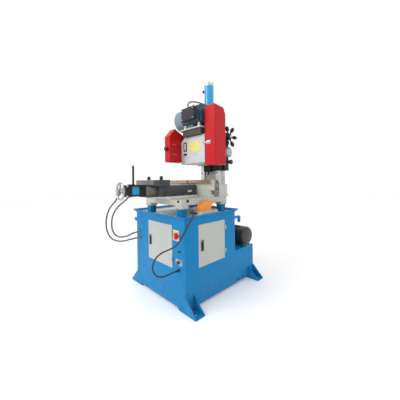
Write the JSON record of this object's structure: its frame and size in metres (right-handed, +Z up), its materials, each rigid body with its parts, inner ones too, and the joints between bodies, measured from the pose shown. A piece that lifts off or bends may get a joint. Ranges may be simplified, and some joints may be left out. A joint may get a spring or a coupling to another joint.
{
  "type": "pipe profile cutting machine",
  "caption": "Vertical circular saw for pipes and profiles: a belt-driven saw head on a column with capstan feed, over a hydraulic vise, on a sheet-metal cabinet with doors and an oil tank.",
  "frame": {"origin": "on the floor, in the middle of the four anchor holes in the feet", "axes": "+X to the operator's right, +Y from the operator into the machine, +Z up"},
  "size_m": [0.8915, 1.192, 1.82],
  "materials": {
    "cabinet_blue": "semi-gloss",
    "tray_light": "satin",
    "casting_beige": "satin paint",
    "door_grey": "satin",
    "vise_dark": "oiled, worn",
    "jaw_grey": "oiled",
    "plate_light": "satin",
    "lever_dark": "satin",
    "cap_alu": "machined",
    "hinge_zinc": "zinc plated",
    "pedal_grey": "satin",
    "fence_brown": "bare, browned",
    "steel_bright": "ground",
    "chrome": "polished",
    "black_paint": "satin",
    "cylinder_blue": "gloss",
    "guard_red": "gloss",
    "motor_grey": "satin paint",
    "fan_grey": "satin",
    "box_dark": "satin",
    "pump_dark": "satin paint",
    "pump_metal": "cast",
    "belt_rubber": "matt",
    "hose_grey": "braided",
    "gearbox_grey": "satin paint",
    "label_yellow": "satin",
    "bracket_olive": "satin paint",
    "cord_black": "matt",
    "knob_black": "matt",
    "pedal_orange": "gloss",
    "switchgear_grey": "matt",
    "switch_yellow": "satin",
    "isolator_red": "gloss",
    "fitting_brass": "plain"
  },
  "bodies": {
    "base": {"cabinet": "cabinet_blue", "chip_tray": "tray_light", "base_casting": "casting_beige", "vise_bed": "vise_dark", "cylinder_bracket": "bracket_olive", "cylinder_frame": "black_paint", "cylinder_tube": "cylinder_blue", "fixed_jaw_support": "casting_beige", "fixed_jaw_bar": "fence_brown", "column": "casting_beige", "column_ways": "steel_bright", "lift_tube": "cylinder_blue", "lift_caps": "cap_alu", "pipe_fittings": "fitting_brass", "feed_housing": "black_paint", "hydraulic_motor": "pump_dark", "hydraulic_pump": "pump_metal", "switch_plates": "switch_yellow", "cord_glands": "knob_black", "electrical_panel": "switchgear_grey", "pedal_base": "pedal_grey", "pedal_hood": "pedal_orange", "door_hinges": "hinge_zinc", "pedal_cord": "cord_black", "vise_hose_upper": "hose_grey", "vise_hose_lower": "hose_grey"},
    "front_door": {"front_door": "door_grey"},
    "front_latch": {"front_latch": "black_paint"},
    "side_door": {"side_door": "door_grey"},
    "side_latch": {"side_latch": "black_paint"},
    "isolator_knob": {"isolator_knob": "isolator_red"},
    "selector_knob": {"selector_knob": "knob_black"},
    "pedal_treadle": {"pedal_treadle": "knob_black"},
    "clamp_ram": {"clamp_ram": "chrome"},
    "handwheel": {"handwheel": "chrome", "lead_screw": "steel_bright"},
    "jaw": {"jaw_carriage": "pump_dark", "jaw_plate": "jaw_grey"},
    "clamp_lever": {"clamp_lever": "lever_dark"},
    "head": {"head_carriage": "casting_beige", "keeper_plates": "steel_bright", "gearbox": "gearbox_grey", "belt_cover_back": "black_paint", "blade_guard": "guard_red", "motor_plate": "plate_light", "main_motor": "motor_grey", "fan_cover": "fan_grey", "terminal_box": "box_dark", "lift_rod": "chrome", "depth_stop": "black_paint", "drive_belts": "belt_rubber", "motor_cable": "cord_black"},
    "belt_cover": {"belt_cover": "guard_red"},
    "guard_knob": {"guard_knob": "knob_black"},
    "spindle": {"spindle": "steel_bright"},
    "input_pulley": {"input_pulley": "pump_metal"},
    "motor_pulley": {"motor_pulley": "pump_metal"},
    "capstan": {"capstan": "black_paint", "feed_pinion": "steel_bright"},
    "head_lock": {"head_lock_knob": "knob_black"}
  },
  "joints": [
    {"name": "front_door_hinge", "type": "hinge", "parent": "base", "child": "front_door", "pos_m": [0.196, -0.441, 0.44], "axis": [0, 0, 1], "range_deg": [0, 95]},
    {"name": "front_latch_turn", "type": "hinge", "parent": "front_door", "child": "front_latch", "pos_m": [-0.097, -0.4403, 0.4775], "axis": [-1, 0, 0], "range_deg": [0, 40]},
    {"name": "side_door_hinge", "type": "hinge", "parent": "base", "child": "side_door", "pos_m": [0.342, 0.006, 0.44], "axis": [0, 0, 1], "range_deg": [0, 95]},
    {"name": "side_latch_turn", "type": "hinge", "parent": "side_door", "child": "side_latch", "pos_m": [0.3413, -0.266, 0.4775], "axis": [0, -1, 0], "range_deg": [0, 40]},
    {"name": "main_switch_turn", "type": "hinge", "parent": "base", "child": "isolator_knob", "pos_m": [0.256, -0.45, 0.532], "axis": [0, 1, 0], "range_deg": [0, 90]},
    {"name": "selector_turn", "type": "hinge", "parent": "base", "child": "selector_knob", "pos_m": [0.27, -0.446, 0.345], "axis": [0, 1, 0], "range_deg": [-45, 45]},
    {"name": "pedal_press", "type": "hinge", "parent": "base", "child": "pedal_treadle", "pos_m": [0.291, -0.223, 0.706], "axis": [-1, 0, 0], "range_deg": [0, 7], "stiffness_Nm_per_rad": 3, "springref_deg": -11.46},
    {"name": "clamp_stroke", "type": "slide", "parent": "base", "child": "clamp_ram", "axis": [0, 1, 0], "range_m": [0, 0.01]},
    {"name": "handwheel_turn", "type": "hinge", "parent": "clamp_ram", "child": "handwheel", "pos_m": [0, -0.737, 0.856], "axis": [0, 1, 0], "range_deg": [0, 10070]},
    {"name": "jaw_slide", "type": "slide", "parent": "clamp_ram", "child": "jaw", "axis": [0, 1, 0], "range_m": [0, 0.28]},
    {"name": "clamp_lever_tilt", "type": "hinge", "parent": "base", "child": "clamp_lever", "pos_m": [0, -0.638, 0.896], "axis": [1, 0, 0], "range_deg": [-30, 30]},
    {"name": "head_slide", "type": "slide", "parent": "base", "child": "head", "axis": [0, 0, 1], "range_m": [-0.105, 0]},
    {"name": "capstan_turn", "type": "hinge", "parent": "base", "child": "capstan", "pos_m": [0.3233, 0.0883, 1.302], "axis": [1, 0, 0], "range_deg": [0, 252]},
    {"name": "input_spin", "type": "hinge", "parent": "head", "child": "input_pulley", "pos_m": [0.357, -0.152, 1.125], "axis": [1, 0, 0], "continuous": true},
    {"name": "spindle_spin", "type": "hinge", "parent": "head", "child": "spindle", "pos_m": [0.01, -0.152, 1.125], "axis": [1, 0, 0], "continuous": true},
    {"name": "motor_spin", "type": "hinge", "parent": "head", "child": "motor_pulley", "pos_m": [0.357, -0.152, 1.448], "axis": [1, 0, 0], "continuous": true},
    {"name": "belt_cover_hinge", "type": "hinge", "parent": "head", "child": "belt_cover", "pos_m": [0.3303, -0.07, 1.25], "axis": [0, 0, 1], "range_deg": [0, 75]},
    {"name": "guard_knob_turn", "type": "hinge", "parent": "head", "child": "guard_knob", "pos_m": [0, -0.335, 1.193], "axis": [0, 1, 0], "continuous": true},
    {"name": "head_lock_turn", "type": "hinge", "parent": "base", "child": "head_lock", "pos_m": [0.3, 0.0973, 1.085], "axis": [1, 0, 0], "range_deg": [0, 180]}
  ],
  "couplings": [
    {"joint": "jaw_slide", "follows": "handwheel_turn", "m_per_rad": 0.0015915},
    {"joint": "capstan_turn", "follows": "head_slide", "rad_per_m": -41.667},
    {"joint": "spindle_spin", "follows": "input_spin", "ratio": 0.055556},
    {"joint": "motor_spin", "follows": "input_spin", "ratio": 1.1389}
  ]
}
